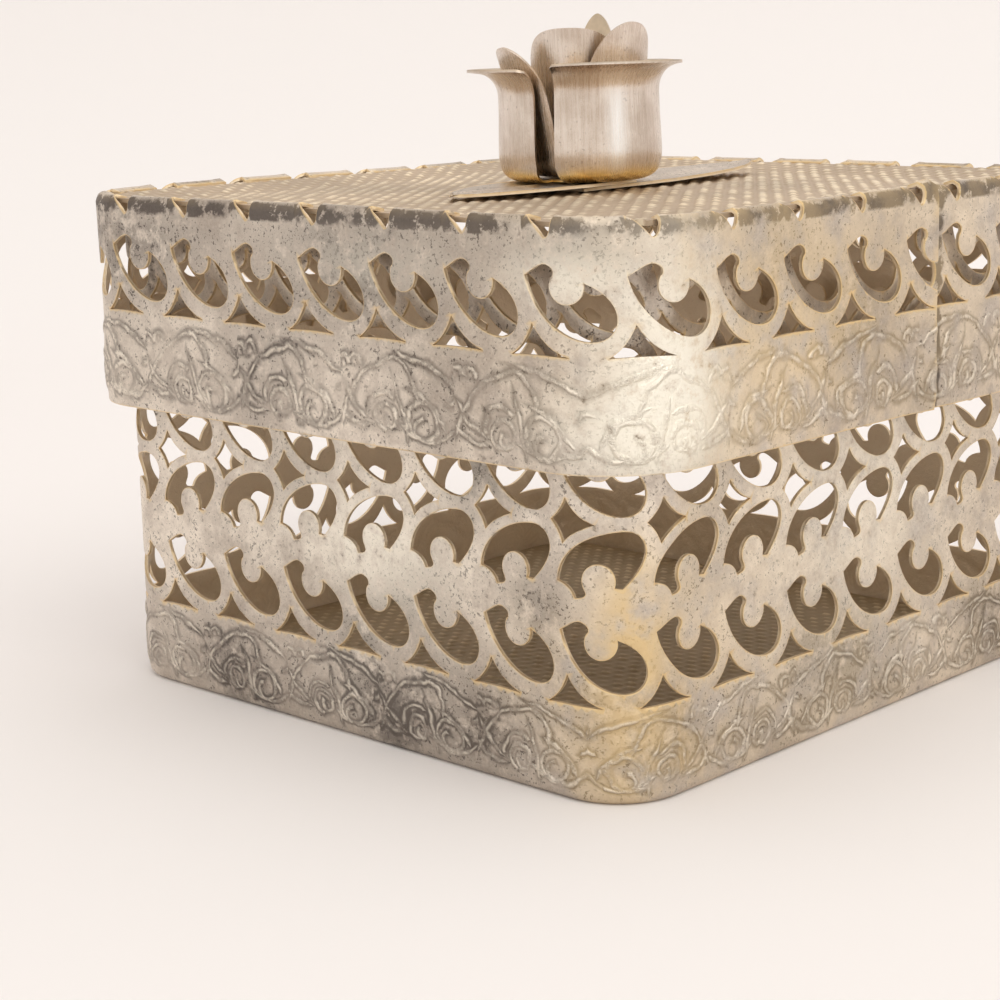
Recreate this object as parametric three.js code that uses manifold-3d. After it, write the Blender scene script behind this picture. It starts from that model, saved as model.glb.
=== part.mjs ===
// A square trinket box of silver-plated sheet brass. A pierced gallery strip is bent round a floor sheet, and the
// lift-off lid is made the same way: its strip's tabs are folded over a flat panel, and a rose of cupped petals
// is riveted on over a pair of leaves as the knob.
// Millimetres, +Z up. The origin is the centre of the underside, and the front is -Y.
import * as THREE from "three";
import { mergeVertices } from "three/addons/utils/BufferGeometryUtils.js";
import Module from "manifold-3d";

// Box
const SHEET = 0.8; // thickness of strip, floor and panel
const SEAT_GAP = 0.3; // left between pieces that touch
const BASE_SIDE = 82; // outside width of the base, both ways
const BASE_CORNER = 8; // outside radius of the base's corners
const BASE_HEIGHT = 56.4; // height of the base's wall
const HEM = 4; // width of the edge turned in under the floor
const LID_CLEARANCE = 2.2; // between the base's wall and the lid's skirt
const SKIRT = 24.3; // height of the lid's skirt
const TAB_REACH = 1.4; // how far the lid's tabs lie over the panel

// Gallery strip
const PITCH = 10.5; // one repeat of the pierced pattern along the strip
const ROW = 18.05; // from one row of loops to the next
const ROW_UNITS = 1.719; // the same in units, which the pattern's heights are drawn in
const BASE_BAND = 10.05; // solid band under the base's lowest holes
const LOOP_RISE = 1.35; // from the band to the bottom of a loop
const LOWER_REACH = 0.667; // height of a lower loop, in units
const LOBE = 1.85; // radius of the round lobes that hang and stand in the loops
const RIM = 1.5; // least solid edge above the last row
const FOLD_AT = 1.148; // height of the lid's fold over a loop's bottom, in units
const LID_PHASE = -0.3; // from the middle of the front right corner to a loop, in repeats
const BASE_PARTING = 0.3; // from a corner's middle to where the strip is parted, in repeats
const LID_PARTING = 0.4;
const SEAM_SHARE = 0.5; // share of a repeat that is left over at the lid's seam
const SEAM_AT = 4.86; // place of the seam, in repeats
const SEAM_WIDTH = 0.4; // the lap's edge, drawn as a fine groove
const SEAM_DEPTH = 0.4;

// Rose and leaves
const LEAF_SHEET = 0.6;
const BACK_LEAF = 33; // length from the rivet to the tip
const FRONT_LEAF = 22;
const LEAF_WIDTH = 15;
const LEAF_EYE = 5; // radius of the eye round the rivet
const PETAL_SHEET = 0.6;
const PETAL_WIDTH = 1.66; // of a petal, in radii of its cup
const PETAL_SHOULDER = 0.62; // share of a petal's height at which its top begins to round
const OUTER_RADIUS = 9.7; // of the cup that the outer petals form
const OUTER_HEIGHT = 13.3;
const OUTER_FLARE = 3.2; // how far their rims turn out
const OUTER_FOOT = 6; // radius of the flat under them
const MIDDLE_RADIUS = 7.5;
const MIDDLE_HEIGHT = 16.4;
const MIDDLE_FLARE = 1.4;
const MIDDLE_FOOT = 4.5;
const BUD_RADIUS = 5;
const BUD_HEIGHT = 16.7;
const BUD_FLARE = -0.3;
const BUD_FOOT = 3.4;
const ROSE_TURN = -14; // degrees from +X to the middle of the first outer petal
const BUD_TURN = 20; // degrees from an outer petal to a bud's petal
const RIVET_RADIUS = 1.5;
const RIVET_HEAD = 2.8; // radius of both heads
const HEAD_HEIGHT = 1.1;
const WASHER_RADIUS = 5;

// Facets
const ROUND_FLATS = 16;
const OVERRUN = 2; // how far a cut stands out of what it cuts
const EDGE_STEP = 0.1; // how much more of a turned-in edge than of its strip is left out at a parting
const CRUMB = 5; // volume of the largest crumb

const wasm = await Module();
wasm.setup();

const unit = ROW / ROW_UNITS;
const lidOverhang = LID_CLEARANCE + SHEET;
const baseWall = { side: BASE_SIDE, corner: BASE_CORNER, parting: BASE_PARTING * PITCH };
const lidSide = BASE_SIDE + 2 * lidOverhang;
const lidWall = { side: lidSide, corner: BASE_CORNER + lidOverhang, parting: LID_PARTING * PITCH };
const floorZ = SHEET + SEAT_GAP;
const panelZ = BASE_HEIGHT + SEAT_GAP;
const tabZ = panelZ + SHEET + SEAT_GAP;
const lidZ = tabZ + SHEET - SKIRT;
const backLeafZ = tabZ;
const frontLeafZ = backLeafZ + LEAF_SHEET + SEAT_GAP;
const roseZ = frontLeafZ + LEAF_SHEET + SEAT_GAP;
const petalLayer = PETAL_SHEET + SEAT_GAP;
const rivetBore = RIVET_RADIUS + SEAT_GAP;

function solid(geometry) {
  const bare = geometry.clone();
  bare.deleteAttribute("normal");
  bare.deleteAttribute("uv");
  const merged = mergeVertices(bare, 1e-4);
  const vertProperties = new Float32Array(merged.getAttribute("position").array);
  const triVerts = new Uint32Array(merged.getIndex().array);
  return new wasm.Manifold(new wasm.Mesh({ numProp: 3, vertProperties, triVerts }));
}

function join(...bodies) {
  return wasm.Manifold.union(bodies);
}

function cut(body, ...cutters) {
  return wasm.Manifold.difference([body, ...cutters]);
}

// The body with each of its vertices put where the function says.
function reshaped(body, place) {
  const { vertProperties, triVerts } = body.getMesh();
  for (let i = 0; i < vertProperties.length; i += 3) {
    const point = new THREE.Vector3().fromArray(vertProperties, i);
    place(point).toArray(vertProperties, i);
  }
  return new wasm.Manifold(new wasm.Mesh({ numProp: 3, vertProperties, triVerts }));
}

function extruded(shape, depth, curveSegments = 1) {
  return new THREE.ExtrudeGeometry(shape, { depth, curveSegments, bevelEnabled: false });
}

function piece(name, body, color, roughness) {
  const { vertProperties, triVerts } = body.getMesh();
  const geometry = new THREE.BufferGeometry();
  geometry.setAttribute("position", new THREE.BufferAttribute(vertProperties, 3));
  geometry.setIndex(new THREE.BufferAttribute(triVerts, 1));
  geometry.computeVertexNormals();
  const material = new THREE.MeshStandardMaterial({ color, roughness, metalness: 1, flatShading: true });
  const mesh = new THREE.Mesh(geometry, material);
  mesh.name = name;
  return mesh;
}

// Runs are measured along a wall's outer face, anticlockwise from the middle of the front right corner.
function cornerArc(wall) {
  return (Math.PI / 2) * wall.corner;
}

function quarterRun(wall) {
  return wall.side - 2 * wall.corner + cornerArc(wall);
}

// The point at a run, moved outward from the face.
function alongWall(wall, run, outward) {
  const reach = wall.side / 2 - wall.corner;
  const arc = cornerArc(wall);
  const quarters = Math.floor((run + arc / 2) / quarterRun(wall));
  const rest = run + arc / 2 - quarters * quarterRun(wall);
  const point = new THREE.Vector2();
  if (rest < arc) {
    const angle = rest / wall.corner - Math.PI / 2;
    const radius = wall.corner + outward;
    point.set(reach + radius * Math.cos(angle), radius * Math.sin(angle) - reach);
  } else {
    point.set(wall.side / 2 + outward, rest - arc - reach);
  }
  return point.rotateAround(new THREE.Vector2(), (quarters * Math.PI) / 2);
}

// The runs at which the wall's flats meet, once round from 0.
function foldRuns(wall) {
  const end = cornerArc(wall) / 2;
  const corner = [-end, -wall.parting, 0, wall.parting, end];
  const runs = [0, 1, 2, 3, 4].flatMap((quarter) => corner.map((run) => quarter * quarterRun(wall) + run));
  const margin = wall.parting / 2;
  return runs.filter((run) => run > -margin && run < 4 * quarterRun(wall) - margin).map(Math.fround);
}

// Whether the strip is parted at a fold, which it is on both sides of each corner's middle.
function isParting(wall, fold) {
  const fromCorner = fold - Math.round(fold / quarterRun(wall)) * quarterRun(wall);
  return Math.abs(Math.abs(fromCorner) - wall.parting) < SEAT_GAP;
}

function outlineAt(wall, outward, Kind = THREE.Path) {
  return new Kind(foldRuns(wall).map((run) => alongWall(wall, run, outward)));
}

function plate(wall, inset, z, thickness = SHEET) {
  return solid(extruded(outlineAt(wall, -inset, THREE.Shape), thickness).translate(0, 0, z));
}

function rectangle(left, bottom, right, top) {
  return new THREE.Shape([at(left, bottom), at(right, bottom), at(right, top), at(left, top)]);
}

// A hole through the flat strip, whose outer face lies at z = 0.
function pierced(outline, run, height) {
  const prism = extruded(new THREE.Shape(outline), SHEET + 2 * OVERRUN);
  return solid(prism.translate(run, height, -SHEET - OVERRUN));
}

// The pierced strip is bent round the wall: each of its flats is taken out, swung into place and joined on. The strip
// goes right round as one piece. It is drawn in eight lengths, parted in its corners with the gap that touching
// pieces keep, so that each of them is nearly flat.
function bentStrip(wall, z, height, cuts) {
  const length = 4 * quarterRun(wall);
  const blank = extruded(rectangle(-OVERRUN, 0, length + OVERRUN, height), SHEET);
  const strip = cut(solid(blank.translate(0, 0, -SHEET)), ...cuts);
  const folds = foldRuns(wall);
  const gapAt = (fold) => (isParting(wall, fold) ? SEAT_GAP / 2 : 0);
  const flats = folds.map((from, i) => {
    const last = i === folds.length - 1;
    const to = last ? Math.fround(length) : folds[i + 1];
    const frame = rectangle(from + gapAt(from), -OVERRUN, to - gapAt(to), height + OVERRUN);
    const window = extruded(frame, SHEET + 2 * OVERRUN);
    const taken = strip.intersect(solid(window.translate(0, 0, -SHEET - OVERRUN)));
    return reshaped(taken, ({ x, y, z: outward }) => {
      const start = alongWall(wall, from, outward);
      const end = alongWall(wall, last ? 0 : to, outward);
      const point = start.lerp(end, (x - from) / (to - from));
      return new THREE.Vector3(point.x, point.y, z + y);
    });
  });
  return join(...flats);
}

// What is turned in from a bent strip's edge, parted where the strip is.
function parted(edge, wall) {
  const reach = wall.side / 2 - wall.corner;
  const swing = wall.parting / wall.corner;
  const slits = [-swing, swing].flatMap((angle) =>
    [0, 1, 2, 3].map((quarter) => {
      const slit = new THREE.BoxGeometry(2 * wall.corner, SEAT_GAP + 2 * EDGE_STEP, 4 * BASE_HEIGHT);
      slit.translate(wall.corner, 0, 0).rotateZ(angle - Math.PI / 4).translate(reach, -reach, 0);
      return solid(slit.rotateZ((quarter * Math.PI) / 2));
    }),
  );
  return cut(edge, ...slits);
}

// The lengths of a bent strip as pieces, each named by the side or corner that it stands on. A crumb of a tab that
// comes loose where the strip is parted is left out.
function lengthsOf(name, strip, color, roughness) {
  const places = ["right", "back_right", "back", "back_left", "left", "front_left", "front", "front_right"];
  const lengths = strip.decompose().filter((length) => length.volume() > CRUMB);
  return lengths.map((length) => {
    const { min, max } = length.boundingBox();
    const angle = Math.atan2(min[1] + max[1], min[0] + max[0]);
    const place = places[(Math.round(angle / (Math.PI / 4)) + 8) % 8];
    return piece(`${name}_${place}`, length, color, roughness);
  });
}

// The pierced pattern's outlines are in shares of a repeat along the strip and in units up it, for the repeat whose
// loop touches bottom at 0, 0. They are stretched along the strip so that a whole number of repeats goes round.
function outlineOf(parts, stretch) {
  return parts.flat().map((point) => new THREE.Vector2(point.x * PITCH * stretch, point.y * unit));
}

function at(x, y) {
  return new THREE.Vector2(x, y);
}

// The points of a bend between its ends.
function bend(segments, from, pull, push, to) {
  return new THREE.CubicBezierCurve(from, pull, push, to).getPoints(segments).slice(1, -1);
}

function lobe(x, y, from, to) {
  const start = THREE.MathUtils.degToRad(from);
  const end = THREE.MathUtils.degToRad(to);
  return new THREE.EllipseCurve(x, y, LOBE / PITCH, LOBE / unit, start, end, true).getPoints(3);
}

// The slanted lower loop, with a lobe hanging into it.
function lowerLoop(stretch) {
  const outline = [
    at(0, 0),
    bend(2, at(0, 0), at(0.3, 0), at(0.22, 0.4), at(-0.03, 0.56)),
    lobe(-0.22, 0.48, 15, -220),
    at(-0.66, 0.59),
    bend(2, at(-0.66, 0.59), at(-0.48, 0.2), at(-0.27, 0), at(0, 0)),
  ];
  return outlineOf(outline, stretch);
}

// The upper loop, its tip at the upper right and a lobe standing in it.
function upperLoop(stretch) {
  const outline = [
    bend(2, at(0.01, 1.03), at(0.2, 1.16), at(0.4, 1.46), at(0.15, 1.56)),
    at(0.15, 1.56),
    bend(2, at(0.15, 1.56), at(-0.27, 1.58), at(-0.6, 1.3), at(-0.65, 1.03)),
    at(-0.65, 1.03),
    lobe(-0.19, 1.1, 215, -20),
  ];
  return outlineOf(outline, stretch);
}

// The four-pointed gap between neighbouring upper loops.
function diamond(stretch) {
  return outlineOf([at(0.45, 1.44), at(0.78, 1.66), at(0.4, 1.85), at(0.28, 1.66)], stretch);
}

// The three-pointed gap between neighbouring lower loops.
function triangle(stretch) {
  const foot = -LOOP_RISE / unit;
  return outlineOf([at(0.14, foot), at(0.77, foot), at(0.4, 0.14)], stretch);
}

// The notch left of each lobe, where the lid's strip is folded over. Its heights are measured from the fold.
function foldNotch(stretch) {
  return outlineOf([at(-0.44, -0.27), at(-0.28, -0.19), at(-0.34, 0.25), at(-0.6, 0.25)], stretch);
}

// The base's repeats are an even number, so that opposite corners come at the same place in the pattern.
function makeBaseWall() {
  const length = 4 * quarterRun(baseWall);
  const repeats = 2 * Math.round(length / PITCH / 2);
  const pitch = length / repeats;
  const stretch = pitch / PITCH;
  const foot = BASE_BAND + LOOP_RISE;
  const fullRows = Math.floor((BASE_HEIGHT - RIM - foot - LOWER_REACH * unit) / ROW);
  const cuts = [];
  for (let i = 0; i <= repeats; i++) {
    cuts.push(pierced(triangle(stretch), i * pitch, foot));
    for (let row = 0; row <= fullRows; row++) {
      cuts.push(pierced(lowerLoop(stretch), i * pitch, foot + row * ROW));
    }
    for (let row = 0; row < fullRows; row++) {
      cuts.push(pierced(upperLoop(stretch), i * pitch, foot + row * ROW));
      cuts.push(pierced(diamond(stretch), i * pitch, foot + row * ROW));
    }
  }
  const wall = bentStrip(baseWall, 0, BASE_HEIGHT, cuts);
  const hem = cut(plate(baseWall, 0, 0), plate(baseWall, HEM, -OVERRUN, 2 * OVERRUN));
  return join(wall, parted(hem, baseWall));
}

// What lies inside the lid's folded tabs, seen from above. In each repeat its edge runs out through the fold where
// a notch parts the tabs, then round a lobe, into a dip and round the end of a slanting strand.
function insideTabs(start, repeats, pitch) {
  const lobeTip = -SHEET - TAB_REACH;
  const profile = [
    [-0.56, OVERRUN],
    [-0.36, OVERRUN],
    [-0.28, lobeTip],
    [-0.1, lobeTip],
    [0, -SHEET - TAB_REACH * 0.3],
    [0.2, -SHEET - TAB_REACH * 0.9],
  ];
  const points = [];
  for (let i = 0; i < repeats; i++) {
    for (const [along, outward] of profile) {
      points.push(alongWall(lidWall, start + (i + along) * pitch, outward));
    }
  }
  return new THREE.Shape(points);
}

function makeLidWall() {
  const length = 4 * quarterRun(lidWall);
  const repeats = Math.round(length / PITCH - SEAM_SHARE);
  const pitch = length / (repeats + SEAM_SHARE);
  const stretch = pitch / PITCH;
  const foot = SKIRT - FOLD_AT * unit;
  const seam = SEAM_AT * pitch;
  const afterSeam = Math.ceil(SEAM_AT) + SEAM_SHARE + LID_PHASE;
  const cuts = [];
  for (let i = 0; i < repeats; i++) {
    const run = (afterSeam + i) * pitch;
    for (const lap of [run, run - length]) {
      cuts.push(pierced(triangle(stretch), lap, foot));
      cuts.push(pierced(lowerLoop(stretch), lap, foot));
      cuts.push(pierced(foldNotch(stretch), lap, SKIRT));
    }
  }
  const groove = extruded(rectangle(seam, -OVERRUN, seam + SEAM_WIDTH, SKIRT + OVERRUN), 2 * OVERRUN);
  cuts.push(solid(groove.translate(0, 0, -SEAM_DEPTH)));
  const wall = bentStrip(lidWall, lidZ, SKIRT, cuts);
  const opening = extruded(insideTabs(afterSeam * pitch, repeats, pitch), 2 * OVERRUN);
  const tabs = cut(plate(lidWall, 0, tabZ), solid(opening.translate(0, 0, tabZ - OVERRUN)));
  return join(wall, parted(tabs, lidWall));
}

function disc(radius, thickness, z) {
  return solid(new THREE.CylinderGeometry(radius, radius, thickness, ROUND_FLATS).rotateX(Math.PI / 2))
    .translate(0, 0, z + thickness / 2);
}

function bore(z, thickness) {
  return disc(rivetBore, thickness + 2 * OVERRUN, z - OVERRUN);
}

function makeBaseFloor() {
  return plate(baseWall, SHEET + SEAT_GAP, floorZ);
}

function makeLidPanel() {
  return cut(plate(lidWall, SHEET + SEAT_GAP, panelZ), bore(panelZ, SHEET));
}

// A pointed leaf that runs along +Y from its eye, turned about the rivet.
function makeLeaf(length, z, turn) {
  const half = LEAF_WIDTH / 2;
  const blade = new THREE.Shape();
  blade.moveTo(-LEAF_EYE / 2, 0);
  blade.bezierCurveTo(-half * 1.4, length * 0.3, -half * 0.9, length * 0.75, 0, length);
  blade.bezierCurveTo(half * 0.9, length * 0.75, half * 1.4, length * 0.3, LEAF_EYE / 2, 0);
  const body = solid(extruded(blade, LEAF_SHEET, 4).translate(0, 0, z));
  return cut(join(body, disc(LEAF_EYE, LEAF_SHEET, z)), bore(z, LEAF_SHEET)).rotate(0, 0, turn);
}

// A cup of sheet turned about the axis, on a flat foot. Its side is a smooth curve through shares of its radius
// and height.
function cup(shares, radius, height, foot, flare) {
  const side = new THREE.SplineCurve([
    new THREE.Vector2(foot, 0),
    ...shares.map(([r, h]) => new THREE.Vector2(radius * r, height * h)),
    new THREE.Vector2(radius + flare, height),
  ]).getPoints(4);
  const inside = side.map((point, i) => {
    const before = side[Math.max(i - 1, 0)];
    const after = side[Math.min(i + 1, side.length - 1)];
    const along = after.clone().sub(before).setLength(PETAL_SHEET);
    return new THREE.Vector2(point.x - along.y, point.y + along.x);
  });
  inside[0].set(foot, PETAL_SHEET);
  const axis = [new THREE.Vector2(0, PETAL_SHEET), new THREE.Vector2(0, 0)];
  const profile = [axis[1], ...side, ...inside.reverse(), axis[0]];
  return solid(new THREE.LatheGeometry(profile, ROUND_FLATS).rotateX(Math.PI / 2));
}

// What is left of a cup for one petal, seen from outside: straight sides and a round top.
function petalWindow(width, height, turn) {
  const half = width / 2;
  const top = height + OVERRUN;
  const outline = new THREE.Shape();
  outline.moveTo(-half, -OVERRUN);
  outline.lineTo(half, -OVERRUN);
  outline.lineTo(half, height * PETAL_SHOULDER);
  outline.bezierCurveTo(half, height * 0.95, half * 0.7, top, 0, top);
  outline.bezierCurveTo(-half * 0.7, top, -half, height * 0.95, -half, height * PETAL_SHOULDER);
  const window = extruded(outline, 2 * width, 4).rotateX(Math.PI / 2);
  return solid(window.rotateZ(THREE.MathUtils.degToRad(turn + 90)));
}

// Three petals on one foot.
function makePetals(body, foot, radius, height, turn, z) {
  const windows = [0, 120, 240].map((angle) => petalWindow(PETAL_WIDTH * radius, height, turn + angle));
  const petals = body.intersect(join(...windows, disc(foot, 2 * OVERRUN, -OVERRUN)));
  return cut(petals, bore(0, PETAL_SHEET)).translate(0, 0, z);
}

function makeOuterPetals() {
  const shares = [
    [0.86, 0.1],
    [0.97, 0.3],
    [1.02, 0.78],
  ];
  const body = cup(shares, OUTER_RADIUS, OUTER_HEIGHT, OUTER_FOOT, OUTER_FLARE);
  return makePetals(body, OUTER_FOOT, OUTER_RADIUS, OUTER_HEIGHT, ROSE_TURN, roseZ);
}

function makeMiddlePetals() {
  const shares = [
    [0.86, 0.13],
    [0.97, 0.35],
    [1.03, 0.8],
  ];
  const body = cup(shares, MIDDLE_RADIUS, MIDDLE_HEIGHT, MIDDLE_FOOT, MIDDLE_FLARE);
  const turn = ROSE_TURN + 60;
  return makePetals(body, MIDDLE_FOOT, MIDDLE_RADIUS, MIDDLE_HEIGHT, turn, roseZ + petalLayer);
}

function makeBud() {
  const shares = [
    [0.9, 0.16],
    [1, 0.45],
    [0.98, 0.75],
  ];
  const body = cup(shares, BUD_RADIUS, BUD_HEIGHT, BUD_FOOT, BUD_FLARE);
  const turn = ROSE_TURN + BUD_TURN;
  return makePetals(body, BUD_FOOT, BUD_RADIUS, BUD_HEIGHT, turn, roseZ + 2 * petalLayer);
}

const upperHeadZ = roseZ + 3 * petalLayer;
const washerZ = panelZ - SEAT_GAP - SHEET;
const lowerHeadZ = washerZ - SEAT_GAP - HEAD_HEIGHT;

function makeRivet() {
  const shank = disc(RIVET_RADIUS, upperHeadZ + HEAD_HEIGHT - lowerHeadZ, lowerHeadZ);
  return join(shank, disc(RIVET_HEAD, HEAD_HEIGHT, lowerHeadZ), disc(RIVET_HEAD, HEAD_HEIGHT, upperHeadZ));
}

function makeWasher() {
  return cut(disc(WASHER_RADIUS, SHEET, washerZ), bore(washerZ, SHEET));
}

const SILVER = 0xb5a99a;
const GILT = 0xa08a5c;

const base = new THREE.Group();
base.add(...lengthsOf("base_wall", makeBaseWall(), SILVER, 0.45));
base.add(piece("base_floor", makeBaseFloor(), GILT, 0.5));

const lid = new THREE.Group();
lid.add(...lengthsOf("lid_wall", makeLidWall(), SILVER, 0.45));
lid.add(piece("lid_panel", makeLidPanel(), GILT, 0.5));
lid.add(piece("leaf_back", makeLeaf(BACK_LEAF, backLeafZ, 0), SILVER, 0.4));
lid.add(piece("leaf_front", makeLeaf(FRONT_LEAF, frontLeafZ, 180), SILVER, 0.4));
lid.add(piece("rose_outer_petals", makeOuterPetals(), SILVER, 0.3));
lid.add(piece("rose_middle_petals", makeMiddlePetals(), SILVER, 0.3));
lid.add(piece("rose_bud", makeBud(), SILVER, 0.3));
lid.add(piece("rose_rivet", makeRivet(), GILT, 0.4));
lid.add(piece("rivet_washer", makeWasher(), GILT, 0.4));

const box = new THREE.Group();
box.add(base, lid);

export default box;
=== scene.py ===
import math

import bpy
import numpy as np
from mathutils import Matrix, Vector, geometry


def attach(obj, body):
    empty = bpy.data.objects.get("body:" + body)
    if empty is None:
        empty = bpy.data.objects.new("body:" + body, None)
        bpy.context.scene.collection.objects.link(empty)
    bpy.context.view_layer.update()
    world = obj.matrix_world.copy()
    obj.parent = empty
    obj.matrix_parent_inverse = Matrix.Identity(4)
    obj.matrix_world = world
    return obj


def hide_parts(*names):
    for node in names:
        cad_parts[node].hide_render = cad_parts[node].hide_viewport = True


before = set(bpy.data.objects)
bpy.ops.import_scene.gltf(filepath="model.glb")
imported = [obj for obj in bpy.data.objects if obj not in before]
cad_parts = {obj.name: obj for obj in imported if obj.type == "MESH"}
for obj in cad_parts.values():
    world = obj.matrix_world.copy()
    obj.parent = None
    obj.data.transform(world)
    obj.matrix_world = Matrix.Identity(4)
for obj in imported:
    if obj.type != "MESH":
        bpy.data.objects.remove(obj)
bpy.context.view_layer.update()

# The base's wall
# One strip of sheet brass, pierced in a gallery pattern, stamped with a scroll border, bent to a square with
# round corners and silver plated. Its lower edge is turned in under the floor. The plate is dull, pitted and
# stained, and worn to the brass along the cut edges.
WALL_SHEET = 0.5
BASE_SIDE, BASE_CORNER, BASE_HEIGHT = 82.0, 8.0, 56.4
BASE_REPEATS = 30
BASE_FOOT = 11.4  # height of the lowest loops
ROW = 18.05  # height of one row of the pattern
REPEAT = 10.5  # the pattern's own measure of height
BELOW_LOOPS = 1.6  # from the lowest loops down to the border's finer mesh
HEM = 3.4  # how far the strip goes on below the foot, to be turned in
HEM_RADIUS = 1.0
UNEVEN = 0.12  # how far the walls wander in and out


def along_wall(side, corner, run, outward):
    """Where runs along a wall's outer face are, anticlockwise from the middle of its front right corner."""
    reach = side / 2 - corner
    arc = math.pi / 2 * corner
    quarter = side - 2 * corner + arc
    turns = np.floor((run + arc / 2) / quarter)
    rest = run + arc / 2 - turns * quarter
    angle = np.minimum(rest, arc) / corner - math.pi / 2
    x = reach + (corner + outward) * np.cos(angle)
    y = (corner + outward) * np.sin(angle) - reach + np.maximum(rest - arc, 0)
    turn = turns * math.pi / 2
    return x * np.cos(turn) - y * np.sin(turn), x * np.sin(turn) + y * np.cos(turn)


def way_round(side, corner):
    """Length of a wall's outer face, all round."""
    return 4 * (side - 2 * corner) + 2 * math.pi * corner


def curve(*points, steps):
    """Points of a Bezier curve, without its last."""
    p = np.array(points, float)
    t = np.linspace(0, 1, steps, endpoint=False)[:, None]
    return (1 - t) ** 3 * p[0] + 3 * (1 - t) ** 2 * t * p[1] + 3 * (1 - t) * t**2 * p[2] + t**3 * p[3]


def round_lobe(x, y, start, end, radius=0.168, steps=18):
    """Points of the arc round a lobe, between two angles in degrees."""
    angle = np.radians(np.linspace(start, end, steps))
    return np.stack([x + radius * np.cos(angle), y + radius * np.sin(angle)], 1)


# The holes' outlines, across in repeats of the pattern and up in its own measure of height.
LOWER_LOOP = np.concatenate([
    curve((0.0, 0.02), (0.19, 0.015), (0.27, 0.16), (0.225, 0.3), steps=9),
    curve((0.225, 0.3), (0.19, 0.4), (0.1, 0.49), (-0.04, 0.545), steps=7),
    round_lobe(-0.222, 0.52, 12, -212),
    curve((-0.358, 0.605), (-0.33, 0.64), (-0.34, 0.69), (-0.42, 0.715), steps=5),
    curve((-0.42, 0.715), (-0.5, 0.73), (-0.57, 0.66), (-0.67, 0.61), steps=6),
    curve((-0.67, 0.61), (-0.59, 0.28), (-0.27, 0.025), (0.0, 0.02), steps=13),
])
UPPER_LOOP = np.concatenate([
    curve((0.0, 1.05), (0.07, 1.12), (0.2, 1.24), (0.225, 1.38), steps=7),
    curve((0.225, 1.38), (0.24, 1.5), (0.15, 1.61), (0.0, 1.6), steps=8),
    curve((0.0, 1.6), (-0.3, 1.59), (-0.66, 1.4), (-0.69, 1.09), steps=13),
    curve((-0.69, 1.09), (-0.63, 1.08), (-0.52, 1.06), (-0.48, 0.94), steps=6),
    curve((-0.48, 0.94), (-0.42, 0.95), (-0.34, 0.95), (-0.369, 1.03), steps=5),
    round_lobe(-0.235, 1.12, 214, -22),
])
DIAMOND = np.concatenate([
    curve((0.39, 1.46), (0.47, 1.56), (0.6, 1.62), (0.74, 1.66), steps=6),
    curve((0.74, 1.66), (0.62, 1.69), (0.5, 1.77), (0.425, 1.9), steps=6),
    curve((0.425, 1.9), (0.38, 1.8), (0.32, 1.73), (0.245, 1.675), steps=6),
    curve((0.245, 1.675), (0.31, 1.62), (0.36, 1.55), (0.39, 1.46), steps=6),
])
TRIANGLE = np.concatenate([
    curve((0.15, -0.13), (0.35, -0.115), (0.56, -0.115), (0.8, -0.13), steps=6),
    curve((0.8, -0.13), (0.62, -0.08), (0.49, 0.03), (0.405, 0.175), steps=6),
    curve((0.405, 0.175), (0.36, 0.05), (0.27, -0.07), (0.15, -0.13), steps=6),
])


def inside(points, outline):
    """Which points lie inside an outline."""
    x, y = points[:, 0, None], points[:, 1, None]
    ax, ay = outline[:, 0], outline[:, 1]
    bx, by = np.roll(ax, -1), np.roll(ay, -1)
    with np.errstate(divide="ignore", invalid="ignore"):
        crosses = ((ay > y) != (by > y)) & (x < (bx - ax) * (y - ay) / (by - ay) + ax)
    return crosses.sum(1) % 2 == 1


EDGE_STEP = 0.5  # between points along the strip's long edges
COARSE = 1.1  # between loose points above the border
RING = 0.16  # from a hole's edge to the points that follow it
MARGIN = 0.1  # from the strip's own edges to the nearest loose point
CLEAR = 0.11  # from any edge's point to the nearest loose point
AT_A_TIME = 200


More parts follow.
